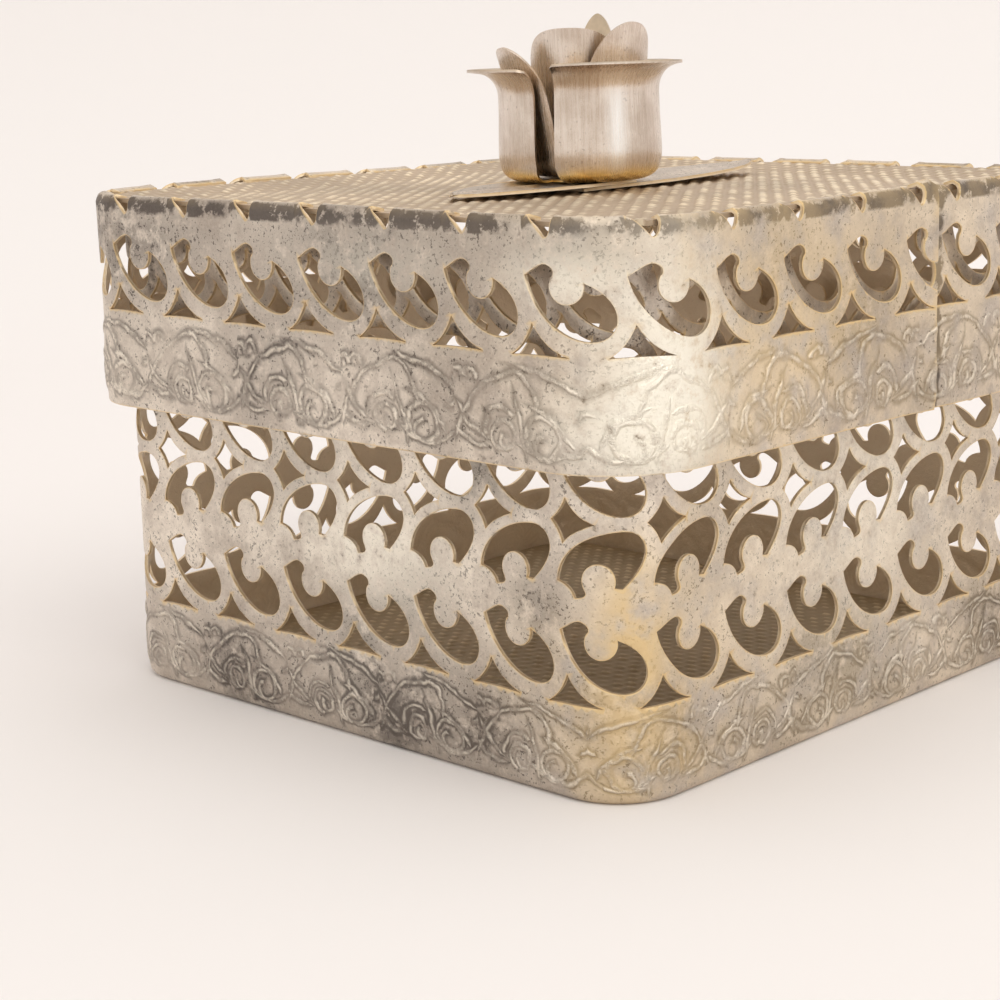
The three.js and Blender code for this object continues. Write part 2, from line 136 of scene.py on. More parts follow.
def pierced_patch(left, right, bottom, top, holes, fine_below, fine=0.4):
    """A length of the flat strip, cut to triangles, with its holes left out.

    Returns its points, its triangles, which points are on a cut edge, and the points of its left and right
    ends from the bottom up."""
    points, lines, loose = [], [], []

    def add_line(outline, closed):
        first = len(points)
        points.extend(map(tuple, outline))
        lines.extend((first + i, first + i + 1) for i in range(len(outline) - 1))
        if closed:
            lines.append((first + len(outline) - 1, first))

    heights = [np.arange(bottom, fine_below, fine), np.arange(fine_below, top, COARSE), [top]]
    heights = np.concatenate(heights)
    for end in (left, right):
        add_line([(end, z) for z in heights], False)
    runs = np.linspace(left, right, max(2, int((right - left) / EDGE_STEP)))
    for edge in (bottom, top):
        add_line([(x, edge) for x in runs], False)
    for hole in holes:
        add_line(hole, True)
        along = np.roll(hole, -1, 0) - np.roll(hole, 1, 0)
        length = np.maximum(np.linalg.norm(along, axis=1), 1e-9)[:, None]
        loose.append(hole + RING * (np.stack([along[:, 1], -along[:, 0]], 1) / length))
    edge_points = np.array(points)
    for low, high, gap in ((bottom, fine_below, fine), (fine_below, top, COARSE)):
        xs, zs = np.meshgrid(np.arange(left + gap / 2, right, gap), np.arange(low + gap / 2, high, gap))
        xs = xs + np.where(np.round((zs - low) / gap) % 2 == 1, gap / 4, -gap / 4)
        loose.append(np.stack([xs.ravel(), zs.ravel()], 1))
    loose = np.concatenate(loose)
    nearest = np.full(len(loose), np.inf)
    for start in range(0, len(edge_points), AT_A_TIME):
        some = edge_points[None, start:start + AT_A_TIME]
        nearest = np.minimum(nearest, np.linalg.norm(loose[:, None] - some, axis=2).min(1))
    within = (loose[:, 0] > left + MARGIN) & (loose[:, 0] < right - MARGIN) & (nearest > CLEAR)
    within &= (loose[:, 1] > bottom + MARGIN) & (loose[:, 1] < top - MARGIN)
    for hole in holes:
        within &= ~inside(loose, hole)
    points.extend(map(tuple, loose[within]))

    out, _, faces, sources, _, _ = geometry.delaunay_2d_cdt([Vector(p) for p in points], lines, [], 0, 1e-6)
    out = np.array([tuple(p) for p in out])
    triangles = np.array([f for f in faces if len(f) == 3])
    x, z = out[triangles].mean(1).T
    keep = (x > left) & (x < right) & (z > bottom) & (z < top)
    for hole in holes:
        keep &= ~inside(np.stack([x, z], 1), hole)
    triangles = triangles[keep]
    a, b, c = out[triangles].transpose(1, 0, 2)
    wrong_way = np.cross(b - a, c - a) < 0
    triangles[wrong_way] = triangles[wrong_way][:, ::-1]
    cut = range(2 * len(heights), len(edge_points))
    cut_edge = np.array([not source or any(i in cut for i in source) for source in sources])
    used = np.zeros(len(out), bool)
    used[triangles.ravel()] = True
    number = np.cumsum(used) - 1
    out, cut_edge, triangles = out[used], cut_edge[used], number[triangles]
    ends = []
    for end in (left, right):
        on = np.flatnonzero(np.abs(out[:, 0] - end) < 1e-4)
        ends.append(on[np.argsort(out[on, 1])])
    return out, triangles, cut_edge, ends[0], ends[1]


def in_a_row(lengths, closed):
    """Lengths of strip set end to end, each given with how far along it goes, and welded where they meet."""
    points, triangles, cut_edges, before, first = [], [], [], None, None
    total = 0
    same = {}
    for (out, tris, cut_edge, left, right), shift in lengths:
        points.append(out + [shift, 0])
        triangles.append(tris + total)
        cut_edges.append(cut_edge)
        if before is not None:
            same.update(zip(left + total, before))
        if first is None:
            first = left + total
        before = right + total
        total += len(out)
    if closed:
        same.update(zip(before, first))
    number = np.arange(total)
    for there, here in same.items():
        number[there] = here
    for _ in range(2):
        number = number[number]
    points, cut_edges = np.concatenate(points), np.concatenate(cut_edges)
    triangles = number[np.concatenate(triangles)]
    used = np.zeros(total, bool)
    used[triangles.ravel()] = True
    renumber = np.cumsum(used) - 1
    return points[used], renumber[triangles], cut_edges[used]


# The scroll border's raised lines are arcs, in the measure of the lid's: across from the peak of the ogee
# arch and up from the border's foot, then the radius, and the arc's middle and half its width in degrees.
MOTIF, BORDER_HEIGHT = 16.4, 9.2
ARCS = [
    (-1.0, -0.1, 8.95, 48, 37), (0.8, 5.2, 3.75, 144, 38), (-2.1, 0.5, 4.8, 129, 30),  # arch and shoulder
    (-3.8, 2.4, 2.0, 110, 150), (-3.94, 1.61, 1.2, 345, 85),  # large scroll, wound inward
    (1.4, 2.3, 1.5, 70, 140), (0.79, 1.95, 0.8, 295, 85), (1.7, 2.8, 2.3, 57, 66),  # small scroll, its hook
    (1.1, -5.8, 15.3, 110, 11), (2.9, 6.7, 4.8, -46, 19), (7.9, 0.8, 9.3, 165, 11),  # stems
    (-4.4, 5.3, 5.0, 268, 44), (5.0, 4.4, 3.4, -66, 32),  # leaves at the foot
    (6.0, 7.7, 0.85, 90, 85), (7.8, 7.6, 0.9, 80, 85), (-7.4, 6.2, 1.4, 200, 60),  # blossom between arches
]
RIDGE = 0.34  # height of the border's relief
ROUNDED = 0.07  # how far the cut edges are rounded off on the outer face


def away_from_arcs(across, up):
    """How far points are from the nearest arc."""
    away = np.full(len(up), 9.0)
    for x, y, radius, middle, half in ARCS:
        turn = math.radians(middle)
        off = np.abs(np.hypot(across - x, up - y) - radius)
        chord = radius * math.cos(math.radians(half))
        past = chord - (across - x) * math.cos(turn) - (up - y) * math.sin(turn)
        away = np.minimum(away, np.maximum(off, past))
    return away


def stamped(motif, up):
    """How far the border stands out, as a share of the relief's height. It is mirrored left of the corner."""
    near = (up > -1) & (up < 10.5)
    place = np.floor(motif[near] + 0.5)
    across = (motif[near] - place) * MOTIF * np.where(place < 0, -1, 1)
    swell = np.exp(-(((across + 0.2) / 5.2) ** 4) - ((up[near] - 4.2) / 3.6) ** 4)
    out = np.zeros(len(up))
    out[near] = 0.5 * np.exp(-((away_from_arcs(across, up[near]) / 0.5) ** 2)) + 0.6 * swell
    return out


def smooth_noise(run, z, length, grain, seed):
    """Slow noise over the strip that meets itself where the strip does."""
    angle = run / length * 2 * math.pi
    ring = length / (2 * math.pi)
    random = np.random.default_rng(seed)
    waves = 14
    total = np.zeros(len(run))
    for _ in range(waves):
        k = random.normal(size=3) / grain
        across = k[0] * ring * np.cos(angle) + k[1] * ring * np.sin(angle)
        total += np.sin(across + k[2] * z + random.uniform(0, 6.3))
    return total / math.sqrt(waves)


def metal_object(name, points, faces, smooth_below, **layers):
    """A mesh from points in millimetres, with a layer of one number a point for each name."""
    mesh = bpy.data.meshes.new(name)
    mesh.from_pydata((np.asarray(points) * 0.001).tolist(), [], [list(f) for f in faces])
    for key, values in layers.items():
        attribute = mesh.attributes.new(key, "FLOAT", "POINT")
        attribute.data.foreach_set("value", np.asarray(values, np.float32))
    mesh.shade_smooth()
    mesh.set_sharp_from_angle(angle=math.radians(smooth_below))
    made = bpy.data.objects.new(name, mesh)
    bpy.context.scene.collection.objects.link(made)
    return made


def bent_sheet(name, flat, triangles, cut_edge, relief, bend, **layers):
    """The flat strip made solid and bent. The cut edges are rounded a little on the outer face."""
    n = len(flat)
    outer = -ROUNDED * cut_edge + RIDGE * relief * ~cut_edge
    inner = -WALL_SHEET + 0.04 * cut_edge + 0.8 * RIDGE * relief * ~cut_edge
    edges = np.concatenate([triangles[:, [0, 1]], triangles[:, [1, 2]], triangles[:, [2, 0]]])
    keys = edges[:, 0].astype(np.int64) * n + edges[:, 1]
    back = edges[:, 1].astype(np.int64) * n + edges[:, 0]
    rim = edges[~np.isin(keys, back)]
    points = np.concatenate([bend(flat[:, 0], flat[:, 1], outer), bend(flat[:, 0], flat[:, 1], inner)])
    rim_faces = np.stack([rim[:, 1], rim[:, 0], rim[:, 0] + n, rim[:, 1] + n], 1)
    faces = [*triangles.tolist(), *(triangles[:, ::-1] + n).tolist(), *rim_faces.tolist()]
    both = {k: np.concatenate([v, v]) for k, v in layers.items()}
    both["edge"] = np.concatenate([cut_edge, cut_edge]).astype(float)
    both["hidden"] = np.concatenate([np.zeros(n), np.ones(n)])
    return metal_object(name, points, faces, 62, **both)


def holes_near(left, right, repeat, foot, rows, upper_rows, phase=0.0, more=()):
    """Outlines of the pattern's holes that touch a length of the strip."""
    shapes = [(TRIANGLE, 0)] + [(LOWER_LOOP, row) for row in range(rows)]
    shapes += [(shape, row) for row in range(upper_rows) for shape in (UPPER_LOOP, DIAMOND)]
    shapes += [(shape, 0) for shape in more]
    found = []
    for i in range(math.floor(left / repeat) - 2, math.ceil(right / repeat) + 2):
        for shape, row in shapes:
            outline = shape * [repeat, REPEAT] + [(i + phase) * repeat, foot + row * ROW]
            if outline[:, 0].max() > left and outline[:, 0].min() < right:
                found.append(outline)
    return found


base_length = way_round(BASE_SIDE, BASE_CORNER)
base_repeat = base_length / BASE_REPEATS
base_holes = holes_near(0, base_repeat, base_repeat, BASE_FOOT, 3, 2)
base_patch = pierced_patch(0, base_repeat, -HEM, BASE_HEIGHT, base_holes, BASE_FOOT - BELOW_LOOPS,
                           fine=0.47)
base_flat, base_triangles, base_cut = in_a_row(
    [(base_patch, i * base_repeat) for i in range(BASE_REPEATS)], closed=True)


def bend_base(run, z, out):
    """Bends the base's strip round the wall, its lowest part turned in under the floor."""
    out = out + UNEVEN * np.clip(z / 3, 0, 1) * smooth_noise(run, z, base_length, 12, 3)
    angle = np.clip((HEM_RADIUS - z) / HEM_RADIUS, 0, math.pi / 2)
    under = np.maximum(HEM_RADIUS - math.pi / 2 * HEM_RADIUS - z, 0)
    outward = (HEM_RADIUS + out) * np.cos(angle) - HEM_RADIUS - under
    height = np.where(z < HEM_RADIUS, HEM_RADIUS - (HEM_RADIUS + out) * np.sin(angle), z)
    x, y = along_wall(BASE_SIDE, BASE_CORNER, run, outward)
    return np.stack([x, y, height], 1)


def patches(*rows):
    """Soft patches on the strip in hand: how strong, where along it, how wide, how high up and how tall."""
    total = 0
    for strength, along, wide, high, tall in rows:
        total = total + strength * np.exp(-(((from_corner - along) / wide) ** 2) - ((z - high) / tall) ** 2)
    return total


BASE_MOTIFS, BASE_ARCH = 21, 3.56  # the border's motifs, and where the peak by the corner is
BASE_BORDER, BASE_BORDER_FOOT = 7.8, 1.3  # its height, squeezed a little, and where it starts
BASE_LINES = 1.0, 9.6  # the heights between which its fine lines are struck
LIT_RIGHT_FACE = 6.0  # how far from the middle of the corner the right face starts; it is tinted warm, partly brass, partly painted light
UNSTRUCK = 1.0  # half the width left plain where the motifs meet at the back
run, z = base_flat.T
from_corner = np.mod(run + base_length / 2, base_length) - base_length / 2
motif = (from_corner - BASE_ARCH) / (base_length / BASE_MOTIFS)
up = (z - BASE_BORDER_FOOT) * BORDER_HEIGHT / BASE_BORDER
relief = stamped(motif, up) * ~base_cut * np.clip((z - 0.8) / 0.6, 0, 1)  # the hem stays flat
band = (z > BASE_LINES[0]) & (z < BASE_LINES[1]) & (np.abs(from_corner) < base_length / 2 - UNSTRUCK)
gilt = patches((1.0, 1, 3.5, 18, 8), (0.5, 0, 7, 3, 7), (0.3, 0, 14, 12, 10))
# The right face's warm tint: partly brass, partly painted light from the right.
gilt = gilt + 0.22 * (from_corner > LIT_RIGHT_FACE)
dark = patches((0.65, -30, 16, 4, 5), (0.8, -10, 4, 20, 4), (0.5, -17, 5, 6, 5), (0.4, 14, 9, 6, 7),
               (0.5, -62, 10, 5, 6)) + 0.45 * np.clip(smooth_noise(run, z, base_length, 7, 8), 0, 1.6)
# Painted highlights: soft pale patches on the faces.
shine = patches((0.5, -34, 10, 22, 5), (0.25, -38, 22, 28, 14), (0.4, 38, 18, 26, 15))
base_wall = bent_sheet("base_wall", base_flat, base_triangles, base_cut, relief, bend_base,
                       gilt=gilt, dark=dark, shine=shine, motif=motif, up=up, band=band)


class Shade:
    """A socket of a material's nodes, so that shader sums read as sums."""

    def __init__(self, tree, socket=None):
        self.tree, self.socket = tree, socket

    def node(self, kind, settings=None, sockets=None, out=0):
        """Any node, from its type, its settings, and the values or links of its sockets."""
        made = self.tree.nodes.new("ShaderNode" + kind)
        for name, value in (settings or {}).items():
            setattr(made, name, value)
        for name, value in (sockets or {}).items():
            if isinstance(value, Shade):
                self.tree.links.new(value.socket, made.inputs[name])
            else:
                made.inputs[name].default_value = value
        return Shade(self.tree, made.outputs[out] if made.outputs else None)

    def maths(self, operation, *terms, clamp=False):
        return self.node("Math", {"operation": operation, "use_clamp": clamp}, dict(enumerate(terms)))

    def __add__(self, other):
        return self.maths("ADD", self, other)

    def __radd__(self, other):
        return self.maths("ADD", other, self)

    def __sub__(self, other):
        return self.maths("SUBTRACT", self, other)

    def __rsub__(self, other):
        return self.maths("SUBTRACT", other, self)

    def __mul__(self, other):
        return self.maths("MULTIPLY", self, other)

    def __rmul__(self, other):
        return self.maths("MULTIPLY", other, self)

    def __abs__(self):
        return self.maths("ABSOLUTE", self)

    def clipped(self):
        return self.maths("ADD", self, 0.0, clamp=True)

    def between(self, low, high):
        """0 below low, 1 above high, and smooth in between."""
        sockets = {"Value": self, "From Min": low, "From Max": high}
        return self.node("MapRange", {"interpolation_type": "SMOOTHSTEP"}, sockets)

    def colour_mix(self, share, under, over):
        """One colour over another, as far as the share says."""
        under, over = [c if isinstance(c, Shade) else (*c, 1) for c in (under, over)]
        return self.node("Mix", {"data_type": "RGBA"}, {0: share, 6: under, 7: over}, out=2)


def new_metal(name):
    """An empty material and its place in object coordinates."""
    material = bpy.data.materials.new(name)
    material.use_nodes = True
    material.node_tree.nodes.clear()
    s = Shade(material.node_tree)
    return material, s, s.node("TexCoord", out=3)


def layer(s, key):
    return s.node("Attribute", {"attribute_name": key}, out=2)


def noise(s, place, scale, detail, rough=0.5, out=0):
    sockets = {"Vector": place, "Scale": scale, "Detail": detail, "Roughness": rough}
    return s.node("TexNoise", {}, sockets, out=out)


def finish_metal(s, colour, roughness, height, metallic=1.0, strength=0.5):
    bump = s.node("Bump", {}, {"Height": height, "Strength": strength, "Distance": 0.0004})
    sockets = {"Base Color": colour, "Roughness": roughness, "Metallic": metallic, "Normal": bump}
    s.node("OutputMaterial", {}, {"Surface": s.node("BsdfPrincipled", {}, sockets)})


SWAY = (1.9, 1.9, 0.0)  # how far the struck lines stray, in the border's measure


def stamped_lines(s, motif, up, wander):
    """The border's fine lines, swayed as struck by hand: 1 on a line, and how far off the nearest is."""
    place = s.maths("FLOOR", motif + 0.5)
    side = 1.0 - 2.0 * s.maths("LESS_THAN", place, -0.5)
    spot = s.node("CombineXYZ", {}, {0: (motif - place) * MOTIF * side, 1: up})
    sway = s.node("VectorMath", {"operation": "SUBTRACT"}, {0: wander, 1: (0.5, 0.5, 0.5)})
    spot = s.node("VectorMath", {"operation": "MULTIPLY_ADD"}, {0: sway, 1: SWAY, 2: spot})
    away = None
    for x, y, radius, middle, half in ARCS:
        turn = math.radians(middle)
        facing = (math.cos(turn), math.sin(turn), 0)
        off = abs(s.node("VectorMath", {"operation": "DISTANCE"}, {0: spot, 1: (x, y, 0)}, out=1) - radius)
        reach = s.node("VectorMath", {"operation": "DOT_PRODUCT"}, {0: spot, 1: facing}, out=1)
        chord = radius * math.cos(math.radians(half)) + x * facing[0] + y * facing[1]
        off = s.maths("MAXIMUM", off, chord - reach)
        away = off if away is None else s.maths("MINIMUM", away, off)
    return 1.0 - away.between(0.05, 0.36), away


SOOT_AND_SHADE = (0.11, 0.09, 0.08)
BARE_BRASS = (0.78, 0.6, 0.34)
PAINTED_HIGHLIGHT_PLATE = (0.97, 0.93, 0.82)
RIDGE_PLATE = (0.9, 0.83, 0.72)


def old_plate(name, bright, dull, inner):
    """Silver plate gone dull: pitted, dark in the hollows, worn to brass on edges and where handled, with
    painted highlights, painted shade and a warm tint painted on the lit side.
    """
    material, s, place = new_metal(name)
    broad, patchy = noise(s, place, 38.0, 4.0, 0.55), noise(s, place, 230.0, 4.0, 0.55)
    speckle, grain = noise(s, place, 620.0, 5.0, 0.7), noise(s, place, 2400.0, 3.0, 0.75)
    line, away = stamped_lines(s, layer(s, "motif"), layer(s, "up"), noise(s, place, 330.0, 2.0, out=1))
    band, hidden = layer(s, "band"), layer(s, "hidden")
    line = line * band * (0.15 + 0.85 * speckle.between(0.42, 0.58))
    beside = (1.0 - away.between(0.25, 0.9)) * band - line
    pits = grain.between(0.54, 0.64) * speckle.between(0.42, 0.56)
    pits = (pits + 0.6 - 0.6 * speckle.between(0.3, 0.37)).clipped()
    shade = broad.between(0.35, 0.65) * 0.35 + patchy.between(0.35, 0.65) * 0.35
    shade = shade + speckle.between(0.4, 0.62) * 0.35 + (grain - 0.5) * 1.1
    colour = s.colour_mix(shade.clipped(), dull, bright)
    # The dark layer holds stains and also painted shade, which go in together with the soot.
    blots_and_shade = layer(s, "dark") * speckle.between(0.34, 0.56) * (0.55 + 0.45 * patchy.between(0.3, 0.6))
    soot_and_shade = (blots_and_shade + pits * 0.8 + beside * 0.62 * patchy.between(0.3, 0.55)).clipped()
    colour = s.colour_mix(soot_and_shade * 0.9, colour, SOOT_AND_SHADE)
    # The warm layer is worn brass, and on the right face it is partly painted light from the right.
    warm = layer(s, "gilt") * (0.45 + broad) * patchy.between(0.25, 0.6)
    warm = (warm + 0.9 * layer(s, "edge") * speckle.between(0.25, 0.5)).clipped()
    colour = s.colour_mix(warm, colour, BARE_BRASS)
    # A painted highlight: near-white plate where the shine layer is.
    painted_highlight = (layer(s, "shine") * speckle.between(0.25, 0.55)).clipped()
    colour = s.colour_mix(painted_highlight, colour, PAINTED_HIGHLIGHT_PLATE)
    colour = s.colour_mix(line * 0.5, colour, RIDGE_PLATE)
    colour = s.colour_mix((hidden * 0.85).clipped(), colour, inner)
    raised = line * 1.7 - pits * 0.6 - beside * 0.4
    height = grain * 0.3 + speckle * 0.7 + patchy * 0.5 + raised * (1.0 - hidden)
    finish_metal(s, colour, 0.36 + 0.2 * speckle + 0.15 * soot_and_shade, height, metallic=1.0 - 0.55 * hidden)
    return material


wall_metal = old_plate("old silver plate", (0.88, 0.8, 0.7), (0.48, 0.415, 0.355), (0.95, 0.81, 0.62))
base_wall.data.materials.append(wall_metal)
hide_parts(*[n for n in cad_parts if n.startswith("base_wall")])
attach(base_wall, "base")

# The base's floor
# A square of thin sheet, rolled with rows of raised dashes like a weave, lies on the turned-in edge and is
# held by the wall round it. Its plate has gone and the brass shows, darker between the dashes.
WOVEN_SHEET = 0.5
FLOOR_LOW = 1.1
INSET = 2.2  # how much narrower than its box each sheet is
DASH_LENGTH, DASH_ROW, DASH_HEIGHT = 2.1, 1.4, 0.3
QUAD = 0.7  # the lower face's mesh, which the upper face halves
PLAIN_EDGE = 1.0  # width of the edge left without dashes
BOW_FROM, BOW_OVER = 8.0, 6.0  # how far in the sheet starts to bow up, and over what length


def weave(x, y):
    """Height of the raised dashes, 0 to 1, each row set half a dash on from the last and each dash worn."""
    row = np.floor(y / DASH_ROW)
    place = x / DASH_LENGTH + 0.5 * row
    along, across = np.mod(place, 1) - 0.5, y / DASH_ROW - row - 0.5
    worn = 0.35 + 0.65 * np.mod(np.abs(np.sin(np.floor(place) * 12.99 + row * 78.23)) * 43.7, 1)
    dash = np.clip(1 - (np.abs(along) / 0.3) ** 4, 0, 1)
    return worn * dash * np.clip(1 - (np.abs(across) / 0.34) ** 2, 0, 1)


def woven_face(side, corner, n, low, height, face_up, rise):
    """One face of a woven square in n by n quads, drawn in to round corners and bowed up along its edges."""
    line = np.linspace(-side / 2, side / 2, n + 1)
    x, y = map(np.ravel, np.meshgrid(line, line))
    reach = side / 2 - corner
    over = np.stack([np.maximum(np.abs(x) - reach, 0), np.maximum(np.abs(y) - reach, 0)], 1)
    pull = np.maximum(np.linalg.norm(over, axis=1) / np.maximum(over.max(1), 1e-9), 1)
    x, y = [np.where(np.abs(v) > reach, np.sign(v) * (reach + over[:, k] / pull), v)
            for k, v in enumerate((x, y))]
    from_middle = np.maximum(np.abs(x), np.abs(y))
    raised = weave(x, y) * (from_middle < side / 2 - PLAIN_EDGE)
    bow = rise * np.clip((from_middle - side / 2 + BOW_FROM) / BOW_OVER, 0, 1)
    sway = 0.1 * np.sin(x / 17) * np.cos(y / 13) + bow
    points = np.stack([x, y, low + height * raised + sway], 1)
    k = (np.arange(n)[:, None] * (n + 1) + np.arange(n)).ravel()
    faces = np.stack([k, k + 1, k + n + 2, k + n + 1], 1)
    edge = np.concatenate([np.arange(n + 1), np.arange(1, n + 1) * (n + 1) + n,
                           (n + 1) * n + np.arange(n - 1, -1, -1), np.arange(n - 1, 0, -1) * (n + 1)])
    return points, faces if face_up else faces[:, ::-1], raised, edge


def woven_sheet(name, side, corner, low, rise=0.0):
    """A square of woven sheet, its upper face fine and its lower face plainer, closed round the edge."""
    n = int(side / QUAD)
    top, top_faces, top_raised, top_edge = woven_face(
        side, corner, 2 * n, low + WOVEN_SHEET, DASH_HEIGHT, True, rise)
    under, under_faces, under_raised, under_edge = woven_face(
        side, corner, n, low, 0.3 * DASH_HEIGHT, False, rise)
    first = len(top)
    every_other, below = top_edge[::2], under_edge + first
    band = np.stack([every_other, below, np.roll(below, -1), np.roll(every_other, -1), top_edge[1::2]], 1)
    faces = [*top_faces.tolist(), *(under_faces + first).tolist(), *band.tolist()]
    raised = np.concatenate([top_raised, under_raised])
    return metal_object(name, np.concatenate([top, under]), faces, 60, relief=raised)


def darker(colour, share):
    return tuple(share * c for c in colour)


def woven_metal(name, high, low):
    """Brass, bright on what is raised and stained between."""
    material, s, place = new_metal(name)
    raised = layer(s, "relief")
    stain, grain = noise(s, place, 55.0, 4.0), noise(s, place, 900.0, 3.0)
    worn = s.colour_mix(stain.between(0.35, 0.65), high, darker(high, 0.72))
    hollow = s.colour_mix(stain, low, darker(low, 0.6))
    share = (raised.between(0.1, 0.8) * (0.5 + grain * 0.8)).clipped()
    colour = s.colour_mix(share, hollow, worn)
    finish_metal(s, colour, 0.5 - 0.16 * raised + 0.1 * grain, grain * 0.5 + raised * 0.6, metallic=0.5)
    return material


base_floor = woven_sheet("woven_floor", BASE_SIDE - INSET, BASE_CORNER - INSET / 2, FLOOR_LOW)
base_floor.data.materials.append(woven_metal("woven floor", (0.97, 0.86, 0.65), (0.7, 0.58, 0.41)))
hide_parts("base_floor")
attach(base_floor, "base")

# The lid's wall
# The same strip, one row high, goes round outside the base. At the top it is folded in over the panel in
# broad tabs with a notch between each two. Its ends are lapped on the right face, with a painted shadow
# there.
LID_SIDE, LID_CORNER, LID_FOOT = 88.0, 11.0, 34.3
SKIRT = 24.7  # height from the foot to the top of the fold
FOLD = 1.0  # outer radius of the folded edge
TAB = 2.2  # how far the tabs come in from the face
TAB_SLOPE = 0.3  # how much they dip on the way
LAP = 1.2  # how far the upper end covers the lower
LAP_BEND = 6.0  # length over which each end leaves the wall's line
SUNK, LIFTED = 0.44, 0.5  # how far the lower end goes in and the upper end out
LID_REPEATS = 30.66  # the ends are cut where the lap comes, so this isn't a whole number
WHOLE_REPEATS = 29  # those alike, between the two ends' own lengths
SEAM_AT, JOIN_AT, PHASE = 4.54, 5.7, 0.383  # lap, first whole length and pattern, in repeats from the corner
LOOPS_BELOW = 1.148  # from the fold's top down to the loops' lowest points, in the pattern's measure
NOTCH_BELOW = 0.5  # from the fold's top down to the notch's middle
lid_length = way_round(LID_SIDE, LID_CORNER)
lid_repeat = lid_length / LID_REPEATS
lid_loops = SKIRT - LOOPS_BELOW * REPEAT
seam = SEAM_AT * lid_repeat
first_join = JOIN_AT * lid_repeat
last_join = first_join + WHOLE_REPEATS * lid_repeat
strip_top = SKIRT - FOLD + math.pi / 2 * FOLD + TAB - FOLD

# The notch between two tabs, in repeats of the pattern, from the middle of the fold.
NOTCH = np.concatenate([
    curve((-0.44, -0.15), (-0.39, -0.15), (-0.37, -0.08), (-0.37, 0.02), steps=6),
    curve((-0.37, 0.02), (-0.37, 0.15), (-0.35, 0.3), (-0.33, 0.45), steps=5),
    curve((-0.33, 0.45), (-0.42, 0.45), (-0.5, 0.45), (-0.58, 0.45), steps=4),
    curve((-0.58, 0.45), (-0.62, 0.3), (-0.66, 0.14), (-0.69, 0.08), steps=5),
    curve((-0.69, 0.08), (-0.6, 0.02), (-0.5, -0.09), (-0.44, -0.15), steps=8),
])


def lid_patch(left, right):
    """A length of the lid's strip, with its holes and the notches between its tabs."""
    notch = NOTCH + [0, (SKIRT - NOTCH_BELOW - lid_loops) / REPEAT]
    holes = holes_near(left, right, lid_repeat, lid_loops, 1, 0, phase=PHASE, more=[notch])
    holes = [hole for hole in holes if hole[:, 1].min() < strip_top]
    return pierced_patch(left, right, 0, strip_top, holes, lid_loops - BELOW_LOOPS)


lid_middle = lid_patch(first_join, first_join + lid_repeat)
lid_lengths = [(lid_patch(seam - LAP, first_join), 0)]
lid_lengths += [(lid_middle, i * lid_repeat) for i in range(WHOLE_REPEATS)]
lid_lengths += [(lid_patch(last_join, seam + lid_length), 0)]
lid_flat, lid_triangles, lid_cut = in_a_row(lid_lengths, closed=False)


def bend_lid(run, z, out):
    """Bends the lid's strip round, folds its tabs in and laps its ends."""
    sunk = -SUNK * (1 - np.clip((run - seam) / LAP_BEND, 0, 1)) ** 2
    lifted = LIFTED * np.clip((run - seam - lid_length + LAP_BEND) / LAP_BEND, 0, 1) ** 2
    out = out + sunk + lifted + UNEVEN * smooth_noise(run, z, lid_length, 12, 6)
    start = SKIRT - FOLD
    angle = np.clip((z - start) / FOLD, 0, math.pi / 2)
    over = np.maximum(z - start - math.pi / 2 * FOLD, 0)
    x, y = along_wall(LID_SIDE, LID_CORNER, run, (FOLD + out) * np.cos(angle) - FOLD - over)
    height = np.where(z < start, z, start + (FOLD + out) * np.sin(angle))
    return np.stack([x, y, LID_FOOT + height - TAB_SLOPE * over], 1)


LID_MOTIFS, LID_ARCH = 20, 4.8
LID_BORDER, LID_BORDER_FOOT = 9.0, 1.0
LID_LINES = 0.8, 10.6
run, z = lid_flat.T
from_corner = np.mod(run + lid_length / 2, lid_length) - lid_length / 2
motif = (from_corner - LID_ARCH) / (lid_length / LID_MOTIFS)
up = (z - LID_BORDER_FOOT) * BORDER_HEIGHT / LID_BORDER
relief = stamped(motif, up) * ~lid_cut
band = (z > LID_LINES[0]) & (z < LID_LINES[1]) & (np.abs(from_corner) < lid_length / 2 - UNSTRUCK)
upper_end = run - seam - lid_length > -0.3  # the cut end that shows
# As on the base, the right face is tinted warm: partly brass, partly painted light from the right.
gilt = patches((0.35, 20, 30, 12, 14)) + 0.22 * (from_corner > LIT_RIGHT_FACE)
gilt = gilt + 0.15 * (z > SKIRT - FOLD / 2) + 0.4 * upper_end

# Painted shade lies under the fold in wedges, deepest by each notch, and a painted shadow along the edge of
# the lap.
from_notch = np.mod(run / lid_repeat - 0.02, 1)  # 0 at a tab's left side, 1 at its right
deep = 1.6 - 0.85 * from_notch + 0.3 * smooth_noise(run, z, lid_length, 2, 5)
painted_fold_shade = np.clip((z - SKIRT + 0.3 + deep) / 0.9, 0, 1)
painted_fold_shade = painted_fold_shade * np.clip((SKIRT + 0.1 - 0.2 * from_notch - z) / 0.35, 0, 1)
painted_lap_shadow = np.exp(-(((run - seam - 1.15) / 0.35) ** 2))
# The patches are stains; the wedges and the lap's line are painted shade.
dark = patches((0.8, -78, 22, 20, 6), (0.7, -4, 7, 21, 3)) + 4.5 * painted_fold_shade + 4.0 * painted_lap_shadow
dark = dark + 0.5 * np.clip(smooth_noise(run, z, lid_length, 7, 11), 0, 1.6)
